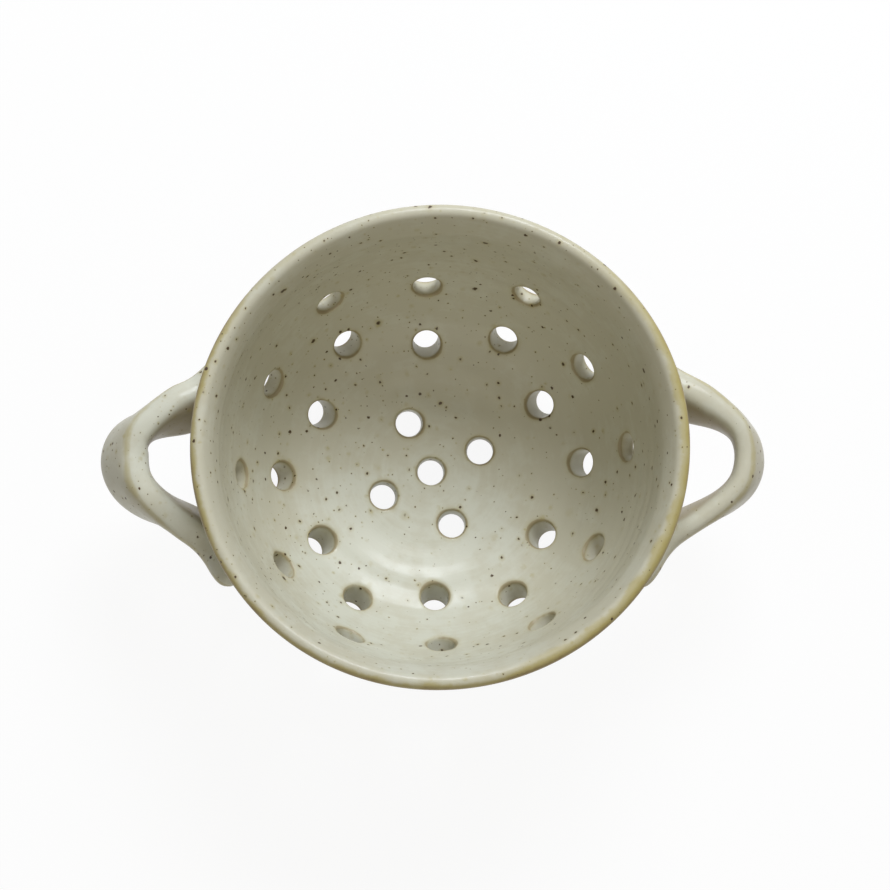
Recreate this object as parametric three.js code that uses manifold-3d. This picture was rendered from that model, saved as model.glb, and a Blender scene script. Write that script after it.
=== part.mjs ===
// Stoneware berry bowl: a thrown bowl pierced with drain holes, a turned foot ring and two strap handles.
// Millimetres, +Z up, the table at Z = 0, the bowl's axis on Z and the handles along X.
import * as THREE from "three";
import { mergeVertices } from "three/addons/utils/BufferGeometryUtils.js";
import Module from "manifold-3d";

const wasm = await Module();
wasm.setup();

// Bowl sizes, in millimetres and degrees.
const RIM_DIAMETER = 151.4; // outside of the lip, the mean of its long and short ways
const RIM_OVAL = 0.0123; // share by which the rim is longer than the mean one way and shorter the other
const RIM_TURN = 14; // azimuth of the rim's long way
const BOWL_HEIGHT = 84;
const FLOOR_RADIUS = 35.6; // level part of the inside
const FLOOR_THICKNESS = 8;
const NECK_INSET = 8.2; // from the rim's outside in to the inside of the neck, below the flared lip
const NECK_DROP = 17; // how far the neck lies below the rim
const NECK_ANGLE = 87; // the wall's rise at the neck, from level
const LIP_THICKNESS = 4.8;
const LIP_ANGLE = 60; // the wall's rise where it meets the lip, from level
const KNEE_PULL = 0.124; // how far the floor runs on into the wall's curve, as a share of the wall's spread
const WALL_PULL = 0.874; // how far the neck's direction runs down into that curve, as a share of its height
const FLARE_PULL = 0.4; // how far the neck's and the lip's directions run into the flare, of its length
const WALL_THINS_FROM = 0.05; // shares of the wall between which it thins from the floor to the lip
const WALL_THINS_TO = 0.65;

// Drain holes: a ring lies at a share of the floor's radius or of the wall's curve. Its holes are cut by
// eye, each at an azimuth and some of them a little further out along the floor or the wall, or in.
const HOLE_DIAMETER = 9.5;
const FLOOR_RINGS = [
  { share: 0, holes: [{ azimuth: 0 }] },
  {
    share: 0.506,
    holes: [{ azimuth: 23 }, { azimuth: 114 }, { azimuth: 207 }, { azimuth: 291, stray: 1.2 }],
  },
];
const WALL_RINGS = [
  {
    share: 0.094,
    holes: [
      { azimuth: 31 },
      { azimuth: 92 },
      { azimuth: 153, stray: -1.5 },
      { azimuth: 213, stray: 1.1 },
      { azimuth: 271 },
      { azimuth: 329 },
    ],
  },
  {
    share: 0.192,
    holes: [
      { azimuth: 2 },
      { azimuth: 61 },
      { azimuth: 124, stray: 0.8 },
      { azimuth: 183 },
      { azimuth: 240 },
      { azimuth: 302 },
    ],
  },
  {
    share: 0.37,
    holes: [
      { azimuth: 33 },
      { azimuth: 92, stray: 0.6 },
      { azimuth: 153 },
      { azimuth: 214 },
      { azimuth: 272 },
      { azimuth: 332 },
    ],
  },
  {
    share: 0.475,
    holes: [
      { azimuth: 4 },
      { azimuth: 61 },
      { azimuth: 123 },
      { azimuth: 184 },
      { azimuth: 244 },
      { azimuth: 303 },
    ],
  },
];

// Foot ring, luted under the level part of the base.
const FOOT_HEIGHT = 5.5; // from the table to the base
const FOOT_INSET = 1.8; // from the edge of the level part to the ring's outside
const FOOT_WIDTH = 7;
const FOOT_TAPER = 1.2; // each side leans in by this much towards the table
const FOOT_ROUNDING = 1.2;

// Strap handles: pulled straps whose ends turn and lie along the wall.
const HANDLE_SPAN = 216; // over both handles
const HANDLE_MIDDLE = 45.5; // height of the strap's centre line at the wall
const HANDLE_RISE = 3; // how much higher the strap's centre line is at its outermost point
const STRAP_WIDTH = 21;
const RIGHT_STRAP_THICKNESS = 8.6;
const LEFT_STRAP_THICKNESS = 10.8;
const TAIL_WIDTH = 17;
const TAIL_THICKNESS = 9.5;
const TAIL_ROUNDING = 0.12; // share of half the strap's length over which a tail rounds off
const TAIL_END_SHARE = 0.5; // share of the tail's section that is left at its very end
const STRAP_EXPONENT = 2.7; // of the section: 2 is an ellipse, more is squarer
// Centre line of half a handle, from the outermost point towards the heel: azimuth and share of the reach.
const HANDLE_LINE = [
  { azimuth: 0, share: 1 },
  { azimuth: 5.6, share: 0.91 },
  { azimuth: 10.2, share: 0.62 },
  { azimuth: 14.2, share: 0.38 },
];
const HEEL_AZIMUTH = 19.5; // where the strap turns to lie along the wall
const HEEL_STANDOFF = 6.6; // from the wall to the centre line there
// How far each tail's end lies above the strap's centre line at the wall.
const RIGHT_FAR_TAIL_RISE = 2;
const RIGHT_NEAR_TAIL_RISE = 9;
const LEFT_FAR_TAIL_RISE = 3;
const LEFT_NEAR_TAIL_RISE = 16;
// How far each tail's face is pressed in past the wall's outside.
const RIGHT_FAR_TAIL_SINK = 2;
const RIGHT_NEAR_TAIL_SINK = 0.3;
const LEFT_FAR_TAIL_SINK = 3.2;
const LEFT_NEAR_TAIL_SINK = 0.3;
// Each handle is pulled and set by hand: how far its lower edge leans out at the outermost point and at
// either root, where it is drawn in with the wall, how widely the roots spread and where their tails end.
const RIGHT_HANDLE = {
  side: 1,
  thickness: RIGHT_STRAP_THICKNESS,
  tipLean: 21,
  far: {
    lean: -30,
    spread: 1.03,
    tail: { azimuth: 25, sink: RIGHT_FAR_TAIL_SINK, rise: RIGHT_FAR_TAIL_RISE },
  },
  near: {
    lean: -13,
    spread: 1.08,
    tail: { azimuth: 34, sink: RIGHT_NEAR_TAIL_SINK, rise: RIGHT_NEAR_TAIL_RISE },
  },
};
const LEFT_HANDLE = {
  side: -1,
  thickness: LEFT_STRAP_THICKNESS,
  tipLean: 32,
  far: {
    lean: -24,
    spread: 0.83,
    tail: { azimuth: 25, sink: LEFT_FAR_TAIL_SINK, rise: LEFT_FAR_TAIL_RISE },
  },
  near: {
    lean: -15,
    spread: 1.07,
    tail: { azimuth: 33, sink: LEFT_NEAR_TAIL_SINK, rise: LEFT_NEAR_TAIL_RISE },
  },
};
const SEAT_GAP = 0.3; // left for the slip between luted pieces

// Fineness of the meshes.
const TURN_STEPS = 64;
const WALL_STEPS = 16;
const LIP_STEPS = 6;
const HOLE_STEPS = 16;
const STRAP_STATIONS = 48;
const SECTION_POINTS = 16;

const RIM_RADIUS = RIM_DIAMETER / 2;
const FLOOR_LEVEL = FOOT_HEIGHT + FLOOR_THICKNESS;
const radians = THREE.MathUtils.degToRad;

// The wall's inside from the floor's edge over the neck to the lip: a path of radius (x) and height (y).
function innerWallPath() {
  const rising = (degrees) => new THREE.Vector2(Math.cos(radians(degrees)), Math.sin(radians(degrees)));
  const neckDirection = rising(NECK_ANGLE);
  const lipDirection = rising(LIP_ANGLE);
  const floorEdge = new THREE.Vector2(FLOOR_RADIUS, FLOOR_LEVEL);
  const neck = new THREE.Vector2(RIM_RADIUS - NECK_INSET, BOWL_HEIGHT - NECK_DROP);
  const lipInside = new THREE.Vector2(
    RIM_RADIUS - (LIP_THICKNESS / 2) * (1 + lipDirection.y),
    BOWL_HEIGHT - (LIP_THICKNESS / 2) * (1 - lipDirection.x),
  );
  const knee = new THREE.Vector2(THREE.MathUtils.lerp(floorEdge.x, neck.x, KNEE_PULL), floorEdge.y);
  const upperWall = neck.clone().addScaledVector(neckDirection, -WALL_PULL * (neck.y - floorEdge.y));
  const flarePull = FLARE_PULL * neck.distanceTo(lipInside);
  const neckTop = neck.clone().addScaledVector(neckDirection, flarePull);
  const lipBottom = lipInside.clone().addScaledVector(lipDirection, -flarePull);
  const path = new THREE.CurvePath();
  path.add(new THREE.CubicBezierCurve(floorEdge, knee, upperWall, neck));
  path.add(new THREE.CubicBezierCurve(neck, neckTop, lipBottom, lipInside));
  return path;
}

const innerWall = innerWallPath();

// The wall at a share of its path: the inside point, the outward direction and the thickness there.
function wallAt(share) {
  const tangent = innerWall.getTangent(share);
  const thinned = THREE.MathUtils.smoothstep(share, WALL_THINS_FROM, WALL_THINS_TO);
  return {
    inside: innerWall.getPoint(share),
    outward: new THREE.Vector2(tangent.y, -tangent.x),
    thickness: THREE.MathUtils.lerp(FLOOR_THICKNESS, LIP_THICKNESS, thinned),
  };
}

function insideProfile() {
  const shares = Array.from({ length: WALL_STEPS + 1 }, (_, step) => step / WALL_STEPS);
  return [new THREE.Vector2(0, FLOOR_LEVEL), ...shares.map((share) => wallAt(share).inside)];
}

// The outside, from the lip down to the axis, grown outward by an extra clearance.
function outsideProfile(clearance) {
  const shares = Array.from({ length: WALL_STEPS + 1 }, (_, step) => 1 - step / WALL_STEPS);
  const wall = shares.map((share) => {
    const { inside, outward, thickness } = wallAt(share);
    return inside.clone().addScaledVector(outward, thickness + clearance);
  });
  return [...wall, new THREE.Vector2(0, FOOT_HEIGHT - clearance)];
}

// The lip's half round, between the inside and the outside of the wall's top.
function lipProfile() {
  const { inside, outward, thickness } = wallAt(1);
  const middle = inside.clone().addScaledVector(outward, thickness / 2);
  const insideAngle = Math.atan2(-outward.y, -outward.x);
  const points = [];
  for (let step = 1; step < LIP_STEPS; step += 1) {
    const angle = insideAngle - (Math.PI * step) / LIP_STEPS;
    const spoke = new THREE.Vector2(Math.cos(angle), Math.sin(angle));
    points.push(middle.clone().addScaledVector(spoke, thickness / 2));
  }
  return points;
}

// A turned piece: a profile of radius and height, revolved round Z.
function turn(profile) {
  return new THREE.LatheGeometry(profile, TURN_STEPS).rotateX(Math.PI / 2);
}

// Where a point of a round bowl lies on the oval one, which is drawn out of round more towards the rim.
function ovalled({ x, y, z }) {
  const share = RIM_OVAL * (z / BOWL_HEIGHT) ** 2;
  const longWay = Math.cos(radians(2 * RIM_TURN));
  const skew = Math.sin(radians(2 * RIM_TURN));
  return new THREE.Vector3(x + share * (x * longWay + y * skew), y + share * (x * skew - y * longWay), z);
}

function makeOval(geometry) {
  const position = geometry.attributes.position;
  for (let index = 0; index < position.count; index += 1) {
    const point = ovalled(new THREE.Vector3().fromBufferAttribute(position, index));
    position.setXYZ(index, point.x, point.y, point.z);
  }
  return geometry;
}

// A closed geometry as a solid that can be cut and joined, facing outward whichever way it was wound.
function toSolid(geometry) {
  geometry.deleteAttribute("normal");
  geometry.deleteAttribute("uv");
  const merged = mergeVertices(geometry, 1e-4);
  const corners = merged.index.array;
  const triangles = [];
  for (let index = 0; index < corners.length; index += 3) {
    const [first, second, third] = corners.slice(index, index + 3);
    if (first !== second && second !== third && third !== first) {
      triangles.push([first, second, third]);
    }
  }
  const position = merged.attributes.position;
  const corner = (index) => new THREE.Vector3().fromBufferAttribute(position, index);
  const volume = triangles.reduce(
    (sum, [first, second, third]) => sum + corner(first).dot(corner(second).cross(corner(third))),
    0,
  );
  const outward = volume > 0 ? triangles : triangles.map(([first, second, third]) => [first, third, second]);
  const mesh = new wasm.Mesh({
    numProp: 3,
    vertProperties: new Float32Array(position.array),
    triVerts: new Uint32Array(outward.flat()),
  });
  return new wasm.Manifold(mesh);
}

function toGeometry(solid) {
  const mesh = solid.getMesh();
  const geometry = new THREE.BufferGeometry();
  geometry.setAttribute("position", new THREE.BufferAttribute(new Float32Array(mesh.vertProperties), 3));
  geometry.setIndex(new THREE.BufferAttribute(new Uint32Array(mesh.triVerts), 1));
  geometry.computeVertexNormals();
  return geometry;
}

// A round cutter square to the wall, long enough to pass both faces.
function holeCutter({ inside, outward, thickness }, azimuth) {
  const angle = radians(azimuth);
  const axis = new THREE.Vector3(outward.x * Math.cos(angle), outward.x * Math.sin(angle), outward.y);
  const mouth = ovalled({ x: inside.x * Math.cos(angle), y: inside.x * Math.sin(angle), z: inside.y });
  const centre = mouth.addScaledVector(axis, thickness / 2);
  const cutter = new THREE.CylinderGeometry(HOLE_DIAMETER / 2, HOLE_DIAMETER / 2, 3 * thickness, HOLE_STEPS);
  const upright = new THREE.Vector3(0, 1, 0);
  cutter.applyQuaternion(new THREE.Quaternion().setFromUnitVectors(upright, axis));
  return toSolid(cutter.translate(centre.x, centre.y, centre.z));
}

function holeCutters() {
  const down = new THREE.Vector2(0, -1);
  const floorHoles = FLOOR_RINGS.flatMap(({ share, holes }) =>
    holes.map(({ azimuth, stray = 0 }) => {
      const inside = new THREE.Vector2(share * FLOOR_RADIUS + stray, FLOOR_LEVEL);
      return holeCutter({ inside, outward: down, thickness: FLOOR_THICKNESS }, azimuth);
    }),
  );
  const wallHoles = WALL_RINGS.flatMap(({ share, holes }) =>
    holes.map(({ azimuth, stray = 0 }) => {
      const place = wallAt(share + stray / innerWall.getLength());
      return holeCutter(place, azimuth);
    }),
  );
  return [...floorHoles, ...wallHoles];
}

function bowlBody() {
  const profile = [...insideProfile(), ...lipProfile(), ...outsideProfile(0)];
  const shell = toSolid(makeOval(turn(profile)));
  return toGeometry(holeCutters().reduce((pierced, cutter) => pierced.subtract(cutter), shell));
}

// The bowl's outside as one filled solid, with the seat gap round it: what is luted on is cut to this.
function seatEnvelope() {
  const outside = outsideProfile(SEAT_GAP);
  return toSolid(makeOval(turn([new THREE.Vector2(0, outside[0].y), ...outside])));
}

// The foot ring's section, with rounded lower corners, revolved round Z.
function footRing() {
  const outer = FLOOR_RADIUS - FOOT_INSET;
  const inner = outer - FOOT_WIDTH;
  const top = FOOT_HEIGHT - SEAT_GAP;
  const section = new THREE.Path();
  section.moveTo(inner, top);
  section.lineTo(inner + FOOT_TAPER, FOOT_ROUNDING);
  section.quadraticCurveTo(inner + FOOT_TAPER, 0, inner + FOOT_TAPER + FOOT_ROUNDING, 0);
  section.lineTo(outer - FOOT_TAPER - FOOT_ROUNDING, 0);
  section.quadraticCurveTo(outer - FOOT_TAPER, 0, outer - FOOT_TAPER, FOOT_ROUNDING);
  section.lineTo(outer, top);
  section.lineTo(inner, top);
  return toGeometry(toSolid(turn(section.getPoints(4))));
}

// The outside radius of the bowl at a height, read off the outside profile.
function outsideRadiusAt(height) {
  const profile = outsideProfile(0);
  const upper = profile.findIndex((point, index) => index > 0 && point.y <= height) - 1;
  const share = (profile[upper].y - height) / (profile[upper].y - profile[upper + 1].y);
  return THREE.MathUtils.lerp(profile[upper].x, profile[upper + 1].x, share);
}

// How far a strap section that leans by an angle stands out from its centre.
function sectionReach(thickness, lean) {
  const power = STRAP_EXPONENT / (STRAP_EXPONENT - 1);
  const byThickness = ((thickness / 2) * Math.cos(lean)) ** power;
  const byWidth = ((STRAP_WIDTH / 2) * Math.sin(lean)) ** power;
  return (byThickness + byWidth) ** (1 / power);
}

// A handle's centre line from its far tail over the outermost point to its near tail.
function handleCentreLine({ thickness, tipLean, far, near }) {
  const wallRadius = outsideRadiusAt(HANDLE_MIDDLE + HANDLE_RISE);
  const reach = HANDLE_SPAN / 2 - sectionReach(thickness, radians(tipLean)) - wallRadius;
  const place = (azimuth, standoff, rise) => {
    const height = HANDLE_MIDDLE + rise;
    const radius = outsideRadiusAt(height) + standoff;
    const angle = radians(azimuth);
    return new THREE.Vector3(radius * Math.cos(angle), radius * Math.sin(angle), height);
  };
  const half = (way, { spread, tail }) => [
    ...HANDLE_LINE.map(({ azimuth, share }) =>
      place(way * spread * azimuth, share * reach, share * HANDLE_RISE),
    ),
    place(way * spread * HEEL_AZIMUTH, HEEL_STANDOFF, 0),
    place(way * tail.azimuth, TAIL_THICKNESS / 2 - tail.sink, tail.rise),
  ];
  const points = [...half(1, far).reverse(), ...half(-1, near).slice(1)];
  return new THREE.CatmullRomCurve3(points, false, "centripetal");
}

// One section of the strap: a full oval across the centre line, leaning with the wall or out from it.
function strapSection(line, share, { side, thickness, tipLean, far, near }) {
  const centre = line.getPoint(share);
  const tangent = line.getTangent(share);
  const fromTip = Math.abs(2 * share - 1);
  const rootLean = share < 0.5 ? far.lean : near.lean;
  const drawnIn = THREE.MathUtils.smoothstep(fromTip, 0, 0.62);
  const lean = radians(THREE.MathUtils.lerp(tipLean, rootLean, drawnIn));
  const tail = THREE.MathUtils.smoothstep(fromTip, 0.55, 1);
  const pastRounding = Math.max(0, (fromTip - 1) / TAIL_ROUNDING + 1);
  const rounding = Math.max(TAIL_END_SHARE, Math.sqrt(1 - pastRounding ** 2));
  const halfWidth = (rounding * THREE.MathUtils.lerp(STRAP_WIDTH, TAIL_WIDTH, tail)) / 2;
  const halfThickness = (rounding * THREE.MathUtils.lerp(thickness, TAIL_THICKNESS, tail)) / 2;
  const up = new THREE.Vector3(0, 0, 1);
  const away = new THREE.Vector3().crossVectors(tangent, up).negate().normalize();
  const across = up.multiplyScalar(Math.cos(lean)).addScaledVector(away, -Math.sin(lean)).normalize();
  const through = new THREE.Vector3().crossVectors(across, tangent).normalize();
  const swell = (value) => Math.sign(value) * Math.abs(value) ** (2 / STRAP_EXPONENT);
  return Array.from({ length: SECTION_POINTS }, (_, index) => {
    const angle = (2 * Math.PI * index) / SECTION_POINTS;
    return centre
      .clone()
      .addScaledVector(across, halfWidth * swell(Math.sin(angle)))
      .addScaledVector(through, halfThickness * swell(Math.cos(angle)))
      .multiply(new THREE.Vector3(side, 1, 1));
  });
}

// A closed skin over a row of sections with equal numbers of points, with a flat cap at each end.
function loft(sections) {
  const count = sections[0].length;
  const triangles = [];
  for (let station = 0; station + 1 < sections.length; station += 1) {
    for (let index = 0; index < count; index += 1) {
      const here = station * count + index;
      const next = station * count + ((index + 1) % count);
      triangles.push(here, next, next + count, here, next + count, here + count);
    }
  }
  const lastStart = (sections.length - 1) * count;
  for (let index = 1; index + 1 < count; index += 1) {
    triangles.push(0, index + 1, index);
    triangles.push(lastStart, lastStart + index, lastStart + index + 1);
  }
  const geometry = new THREE.BufferGeometry().setFromPoints(sections.flat());
  geometry.setIndex(triangles);
  return geometry;
}

function strapHandle(handle) {
  const line = handleCentreLine(handle);
  const shares = Array.from({ length: STRAP_STATIONS + 1 }, (_, station) => station / STRAP_STATIONS);
  const strap = toSolid(loft(shares.map((share) => strapSection(line, share, handle))));
  return toGeometry(strap.subtract(seatEnvelope()));
}

function piece(name, geometry, material) {
  const mesh = new THREE.Mesh(geometry, material);
  mesh.name = name;
  return mesh;
}

const glaze = () => new THREE.MeshStandardMaterial({ color: 0xb9b49e, roughness: 0.32, metalness: 0 });
const bareClay = new THREE.MeshStandardMaterial({ color: 0xb08f6c, roughness: 0.85, metalness: 0 });

const berryBowl = new THREE.Group();
berryBowl.add(piece("bowl_body", bowlBody(), glaze()));
berryBowl.add(piece("foot_ring", footRing(), bareClay));
berryBowl.add(piece("left_handle", strapHandle(LEFT_HANDLE), glaze()));
berryBowl.add(piece("right_handle", strapHandle(RIGHT_HANDLE), glaze()));

export default berryBowl;
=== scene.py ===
"""A stoneware berry bowl with its foot ring, strap handles, speckled glaze and photo stage."""

import math
from bisect import bisect_right
from typing import NamedTuple

import bmesh
import bpy
from mathutils import Matrix, Vector, noise
from mathutils.geometry import interpolate_bezier


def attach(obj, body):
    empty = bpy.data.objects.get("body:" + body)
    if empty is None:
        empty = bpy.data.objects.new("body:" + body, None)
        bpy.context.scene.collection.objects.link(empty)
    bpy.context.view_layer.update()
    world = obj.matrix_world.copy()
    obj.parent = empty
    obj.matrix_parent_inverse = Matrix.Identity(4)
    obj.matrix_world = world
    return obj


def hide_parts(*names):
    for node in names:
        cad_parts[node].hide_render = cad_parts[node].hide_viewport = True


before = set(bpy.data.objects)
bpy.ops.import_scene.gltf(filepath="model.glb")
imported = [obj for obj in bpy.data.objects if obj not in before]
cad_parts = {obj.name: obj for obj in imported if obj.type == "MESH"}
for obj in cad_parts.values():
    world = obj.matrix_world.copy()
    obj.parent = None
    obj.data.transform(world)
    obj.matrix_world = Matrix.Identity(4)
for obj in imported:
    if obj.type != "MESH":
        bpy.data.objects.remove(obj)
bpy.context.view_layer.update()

bl_info = {
    "name": "Stoneware Berry Bowl",
    "version": (1, 0, 0),
    "blender": (4, 5, 0),
    "location": "View3D > Sidebar > Berry Bowl",
    "description": "Builds a pierced stoneware bowl with a foot ring, strap handles and a speckled glaze",
    "category": "Add Mesh",
}

MM = 0.001
BODY = "root"

# Places closer than this are one.
TOUCH = 1e-6

# The wall's inside line, in section.
NECK_INSET = 8.2 * MM
NECK_DROP = 17 * MM
NECK_ANGLE = math.radians(87)
LIP_ANGLE = math.radians(60)
KNEE_PULL = 0.124
WALL_PULL = 0.874
FLARE_PULL = 0.4
WALL_THINS_FROM = 0.05
WALL_THINS_TO = 0.65
PROFILE_POINTS = 120
KNEE_EASE = 12 * MM
KNEE_EASE_ENDS = 30 * MM
EASE_SAMPLES = 8
FLOOR_DISH = 3.4 * MM
RADIUS_HALVINGS = 40

# Drain holes: the ring's place as a share of the floor's radius or of the wall's line, how far its bores
# lean out from square to the wall, in degrees, then each hole's azimuth in degrees and how far the potter's
# cutter strayed out along the wall, in millimetres.
FLOOR_RING_SHARE = 0.506
FLOOR_RING_HOLES = ((23, 0), (114, 0), (207, 0), (291, 1.2))
WALL_RINGS = (
    (0.094, 15, ((31, 0), (92, 0), (153, -1.5), (213, 1.1), (271, 0), (329, 0))),
    (0.192, 6, ((2, 0), (61, 0), (124, 0.8), (183, 0), (240, 0), (302, 0))),
    (0.37, -3, ((33, 0), (92, 0.6), (153, 0), (214, 0), (272, 0), (332, 0))),
    (0.475, -4, ((4, 0), (61, 0), (123, 0), (184, 0), (244, 0), (303, 0))),
)

# The bowl's mesh.
TURN_STEPS = 144
RING_SPACING = 2.2 * MM
SLOPE_REACH = RING_SPACING / 4
MOUTH_GUARD = 1.7 * MM
HOLE_CLEARANCE = 1.9 * MM
SMOOTHED_AROUND_HOLE = 9 * MM
SMOOTHING_ROUNDS = 4
SMOOTHING_SHARE = 0.5
SLAB = 10 * MM
TUNNEL_CUTS = 2
LIP_CUTS = 5
MOUTH_SEGMENTS = 3
GLAZE_IN_BORE = 0.35 * MM
BORE_COATED_BY = 0.4

# Traces of the wheel and the hand. Each is read from the noise on a circle, at a height of its own.
THROWING_PITCH = 7.5 * MM
THROWING_DEPTH = 0.16 * MM
THROWING_DEPTH_MEAN = 0.6
RIDGE_DRIFT = 1.5
RIDGE_DRIFT_CIRCLE = 1
RIDGE_DRIFT_SIZE = 20 * MM
HAND_WAVER = 0.35 * MM
HAND_WAVER_SIZE = 45 * MM
HAND_WAVER_CIRCLE = 1.3
RIM_WAVER = 0.3 * MM
RIM_WAVER_FROM = 0.6
RIM_WAVER_CIRCLE = 1.7
OUTSIDE_NOISE = 9
HAND_NOISE = 5
RIM_NOISE = 2.5

# Reach of the marks that the materials read.
LIP_MARK_REACH = 10 * MM
MOUTH_MARK_REACH = 7 * MM

# Strap handles, in the bowl's cylinder coordinates: azimuth in degrees and share of the reach.
HANDLE_MIDDLE = 45.5 * MM
HANDLE_RISE = 3 * MM
HANDLE_LINE = ((0, 1), (5.6, 0.91), (10.2, 0.62), (14.2, 0.38))
HEEL_AZIMUTH = 19.5
HEEL_STANDOFF = 6.6 * MM
HANDLES = {
    "left_handle": {
        "side": -1,
        "exponent": 3.0,
        "tip_lean": 32,
        "far": {"lean": -24, "spread": 0.83, "tail": 25, "sink": 3.2 * MM, "rise": 3 * MM, "belly": 0},
        "near": {"lean": -15, "spread": 1.07, "tail": 33, "sink": 0.3 * MM, "rise": 16 * MM, "belly": 0},
    },
    "right_handle": {
        "side": 1,
        "exponent": 2.6,
        "tip_lean": 21,
        "far": {"lean": -14, "spread": 1.03, "tail": 25, "sink": 2 * MM, "rise": 2 * MM, "belly": 3.2 * MM},
        "near": {"lean": -13, "spread": 1.08, "tail": 34, "sink": 0.3 * MM, "rise": 9 * MM, "belly": 0},
    },
}

# How the strap changes between its tip, at 0, and the end of a tail, at 1.
LEAN_TURNED_BY = 0.62
BELLY_FROM = 0.15
BELLY_FULL = 0.5
TAIL_FROM = 0.55
TAIL_WIDTH = 17 * MM
TAIL_THICKNESS = 9.5 * MM
TAIL_ROUNDING = 0.12
TAIL_END_SHARE = 0.12

# The straps' mesh.
LINE_EASE = 0.05
LINE_SAMPLES = 4
STRAP_STATIONS = 96
STATION_PULL = 0.045
SECTION_POINTS = 28
SEAM_SPREAD = 2.6 * MM
SEAM_HEIGHT = 3.2 * MM
STRAP_WAVER = 0.4 * MM
STRAP_WAVER_SIZE = 14 * MM

# Foot ring, and the least change of a face's rise that makes an edge a fold.
FOOT_INSET = 1.8 * MM
FOOT_WIDTH = 7 * MM
FOOT_TAPER = 1.2 * MM
FOOT_ROUNDING = 1.2 * MM
FOOT_SEGMENTS = 4
FOOT_BEDDING = 0.6 * MM
FOLD = 0.3

# The photograph's camera.
AIM = Vector((0.84 * MM, -0.79 * MM, 84 * MM))
LOOK_FROM = Vector((math.tan(math.radians(-3.16)), math.tan(math.radians(-7.77)), 1)).normalized()
CAMERA_DISTANCE = 0.6
LENS = 79.91
SENSOR = 36

# Gloss of the glaze: a satin body, smoother where it pools, under a thin clear skin.
GLAZE_SPECULAR = 0.27
STRAP_SPECULAR = 0.2
GLAZE_ROUGHNESS = 0.5
POOLED_ROUGHNESS = 0.38
GLAZE_COAT = 0.13
GLAZE_COAT_ROUGHNESS = 0.13
GLAZE_BUMP = {"Strength": 0.25, "Distance": 0.25 * MM}

# How the glaze flows: sizes of what it forms, and how much each adds to its pooling and its height.
RING_PITCH = 2.2 * MM
RING_WANDER = 3 * MM
RING_WANDER_SIZE = 30 * MM
RING_POOLING = 0.16
RING_HEIGHT = 0.35
CLOUD_SIZE = 14 * MM
CLOUD_POOLING = 0.7
PATCH_SIZE = 4 * MM
PATCH_POOLING = 0.3
SKIN_SIZE = 1.6 * MM
SKIN_HEIGHT = 0.3
POOLED_BETWEEN = (0.34, 0.66)
NOISE_MEAN = 0.5

# Painted light and shade in the glaze's colour: paler round the spot of the highlight on the near floor,
# where the light falls, and darker away from it, as shares of thicker and thinner glaze;
# then how much thicker and thinner the glaze lies from the left strap to the right one.
PAINTED_LIGHT_CENTRE = (-8 * MM, -32 * MM, 0)
PAINTED_LIGHT_CORE = 28 * MM
PAINTED_LIGHT_BORDER = 52 * MM
PAINTED_LIGHT_GAIN = 0.3
PAINTED_SHADE_LOSS = -0.55
STRAP_PLACE = 80 * MM
LEFT_STRAP_THICKER = 0.35
RIGHT_STRAP_THINNER = -0.45

# Iron in the clay. Each kind of speck has a spacing, a radius as a share of it, and the share of places
# that hold one. Its core and its stain fade between two distances, in radii, and specks gather one way.
SPECK_KINDS = ((1.8 * MM, 0.14, 0.7), (3.4 * MM, 0.19, 1.0), (8 * MM, 0.13, 0.35))
SMALLEST_SPECK = 0.35
SPECK_EDGE_SCALE = 3.0
SPECK_RAGGEDNESS = 0.28
CORE_FADE = (1.1, 0.6)
STAIN_FADE = (2.6, 0.8)
STAIN_STRENGTH = 0.45
GATHER_WAY = (-0.8, 0.6, 0)
GATHER_DRIFT = 60 * MM
GATHER_DRIFT_SIZE = 30 * MM
GATHER_FROM = -20 * MM
GATHER_TO = 90 * MM
FEWEST_SPECKS = 0.5

# The bare foot: the sizes of its grog and its toasted patches, and how these show.
GROG_SIZE = 0.9 * MM
GROG_SHOWS = (0.55, 0.75, 0.0, 0.4)
GROG_ROUGHNESS = (0.75, 0.95)
GROG_BUMP = {"Strength": 0.5, "Distance": 0.15 * MM}
TOAST_SIZE = 12 * MM
TOAST_SHOWS = (0.35, 0.7)
TOASTED_SHARES = (0.72, 0.6, 0.48)

# Studio light, with softboxes placed by azimuth and elevation in degrees.
SOFTBOX_DISTANCE = 1.2
SOFTBOXES = {
    "key_softbox": {
        "azimuth": 77,
        "elevation": 46,
        "width": 0.6,
        "depth": 0.4,
        "power": 13.2,
        "tint": (0.955, 1.0, 1.09),
    },
    "fill_softbox": {
        "azimuth": 270,
        "elevation": 50,
        "width": 1.2,
        "depth": 1.2,
        "power": 3.5,
        "tint": (1.0, 0.97, 0.92),
    },
}
SKY_LEVEL = 0.228
SKY_TINT = (1.0, 0.935, 0.76, 1)
WHITE = (1, 1, 1, 1)
FLOOR_SIZE = 3.0
FLOOR_DROP = 0.1 * MM
FLOOR_PAPER = (0.85, 0.85, 0.85, 1)
FLOOR_WHITENESS = 0.92


class BreakAndShadeBand(NamedTuple):
    """A band along a mark, used for breaks in the glaze and for painted shade: where it starts and is full,
    its border, strength and colour.
    """

    start: float
    full: float
    ragged: float
    strength: float = 1.0
    colour: str = "tan_break"


# Breaks round the holes' mouths, by the distance from the edge in millimetres.
MOUTH_BREAKS = (
    BreakAndShadeBand(start=1.9, full=0.4, ragged=0.3, strength=0.3),
    BreakAndShadeBand(start=0.8, full=0.32, ragged=0.24, strength=0.52, colour="brown_break_and_shade"),
)

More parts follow.
